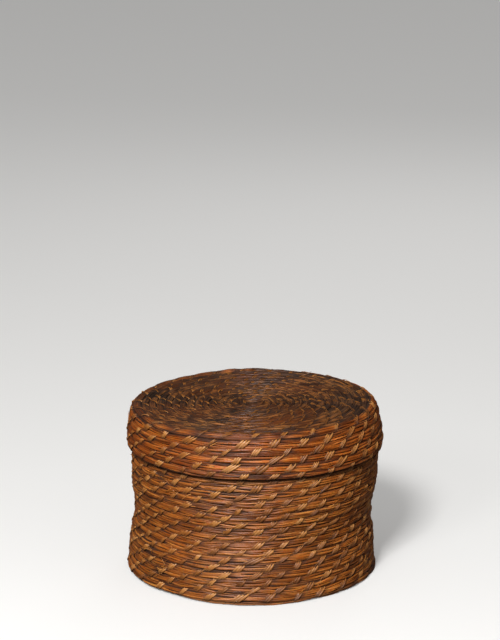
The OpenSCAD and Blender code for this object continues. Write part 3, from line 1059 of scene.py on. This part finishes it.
def makeLooseEnds(name, coil, turns, seed):
    rng = np.random.default_rng(seed)
    c = looseEnds
    count, rings, sides = len(turns), c["rings"], c["sides"]
    middle, along, onward, out, _, halfThick = placeAt(coil, turns)
    start = middle + onward * rng.uniform(-c["across"], c["across"], (count, 1))
    start = start + out * (halfThick - c["sunk"])[:, None]
    way = along * rng.choice([-1, 1], (count, 1)) + onward * rng.normal(0, c["stray"], (count, 1))
    way = way + out * rng.uniform(*c["lift"], (count, 1))
    bend = onward * rng.normal(0, c["curl"], (count, 1)) + out * rng.normal(0, c["curl"], (count, 1))
    long = rng.uniform(*c["long"], (count, 1, 1))
    u = np.linspace(0, 1, rings)[None, :, None]
    spine = start[:, None] + long * (way[:, None] * u + bend[:, None] * u ** 2 * 0.5)
    thick = rng.uniform(*c["thick"], (count, 1, 1, 1)) * (1 - c["taper"] * u[..., None] ** 2)
    rim = np.arange(sides) * 2 * np.pi / sides
    around = onward[:, None, None] * np.cos(rim)[:, None] + out[:, None, None] * np.sin(rim)[:, None]
    ring = spine[:, :, None] + thick * around
    faces = []
    for i in range(count):
        faces.extend(tubeFaces(rings, sides, i * rings * sides))
    shape = (count, rings, sides)
    tone = rng.beta(*c["toneShape"], (count, 1, 1))
    run = rng.uniform(0, patternLong, (count, 1, 1)) + c["run"] * u
    values = {
        "tone": np.broadcast_to(tone, shape).ravel(),
        "along": np.broadcast_to(run, shape).ravel(),
        "groove": np.ones(count * rings * sides),
        "flat": np.repeat(flatness(middle, onward), rings * sides),
    }
    return makeMesh(name, bentByHand(ring.reshape(-1, 3)), faces, values)


def looseTurns(coil, span, count, spots, seed):  # scattered along the coil and thicker beside worn spots
    rng = np.random.default_rng(seed)
    x = rng.uniform(*lengthAt(coil, np.array(span)), count)
    turns = np.interp(x, coil["length"], coil["grid"])
    grid = np.linspace(*span, looseEnds["spotSteps"])
    middle = placeAt(coil, grid)[0]
    for spot in spots:
        near = grid[np.argmin(np.linalg.norm(middle - spotPlace(spot), axis=1))]
        turns = np.append(turns, near + rng.normal(0, looseEnds["spotReach"], looseEnds["bySpot"]))
    return np.clip(turns, span[0] + looseEnds["endFree"], span[1] - looseEnds["endFree"])


wallSpan = (wallFrom, basketCoil["turns"])
wallLoose = looseTurns(basketCoil, wallSpan, looseEnds["onWall"], wornSpots, seed=41)
wallEnds = makeLooseEnds("wallEnds", basketCoil, wallLoose, seed=42)
finishPiece(wallEnds, sewingStrand, "basket", [])
lidSpan = (looseEnds["lidFrom"], lidCoil["turns"])
lidLoose = looseTurns(lidCoil, lidSpan, looseEnds["onLid"], [], seed=43)
lidEnds = makeLooseEnds("lidEnds", lidCoil, lidLoose, seed=44)
finishPiece(lidEnds, sewingStrand, "lid", [])
print("loose ends added")


# floor and light

studio = {
    "floorSize": 14.0,
    "floorColour": srgb(214, 213, 211),
    "floorBounce": srgb(90, 88, 86),  # what the basket gets back from the floor
    "floorGlow": 0.3,  # keeps the far floor pale
    "floorRough": 0.9,
    "aim": (0, 0, 0.06),
    "world": 0.27,
    "worldShine": 0.15,  # share of it that the stems mirror
    "lamps": {  # colour and shine: whether it lights the matt and the glossy part of a surface
        "key": {"at": (-0.8, -1.45, 1.0), "size": 0.3, "watts": 5.5, "colour": True, "shine": False},
        "front": {"at": (-0.36, -1.35, 1.27), "size": 0.35, "watts": 36, "colour": True, "shine": True},
        "sheen": {"at": (-0.4, -1.3, 1.1), "size": 0.5, "watts": 36, "colour": False, "shine": True},
        "fill": {"at": (1.5, -1.0, 0.9), "size": 1.2, "watts": 2, "colour": True, "shine": False},
        "back": {"at": (0.35, 1.3, 0.95), "size": 0.5, "watts": 2, "colour": True, "shine": False},
    },
}


def makeStudio(c):
    bpy.ops.mesh.primitive_plane_add(size=c["floorSize"])
    floor = bpy.context.object
    floor.name = "floor"
    paper = bpy.data.materials.new("paper")
    paper.use_nodes = True
    tree = paper.node_tree
    shader = tree.nodes["Principled BSDF"]
    seen = tree.nodes.new("ShaderNodeLightPath").outputs["Is Camera Ray"]
    link(tree, mixColour(tree, seen, c["floorBounce"], c["floorColour"]), shader.inputs["Base Color"])
    link(tree, mathNode(tree, "MULTIPLY", seen, c["floorGlow"]), shader.inputs["Emission Strength"])
    shader.inputs["Emission Color"].default_value = c["floorColour"]
    shader.inputs["Roughness"].default_value = c["floorRough"]
    floor.data.materials.append(paper)
    world = bpy.data.worlds.new("world")
    world.use_nodes = True
    tree = world.node_tree
    background = tree.nodes["Background"]
    background.inputs["Color"].default_value = (1, 1, 1, 1)
    glossy = tree.nodes.new("ShaderNodeLightPath").outputs["Is Glossy Ray"]
    dimmed = mathNode(tree, "MULTIPLY", glossy, c["world"] * (c["worldShine"] - 1))
    link(tree, mathNode(tree, "ADD", dimmed, c["world"]), background.inputs["Strength"])
    bpy.context.scene.world = world
    for name, lamp in c["lamps"].items():
        light = bpy.data.lights.new(name, "AREA")
        light.size = lamp["size"]
        light.energy = lamp["watts"]
        piece = bpy.data.objects.new(name, light)
        piece.location = lamp["at"]
        piece.rotation_euler = (Vector(c["aim"]) - piece.location).to_track_quat("-Z", "Y").to_euler()
        piece.visible_diffuse = lamp["colour"]
        piece.visible_glossy = lamp["shine"]
        bpy.context.collection.objects.link(piece)


makeStudio(studio)
bpy.context.scene.view_settings.view_transform = "Standard"
print("studio lit")
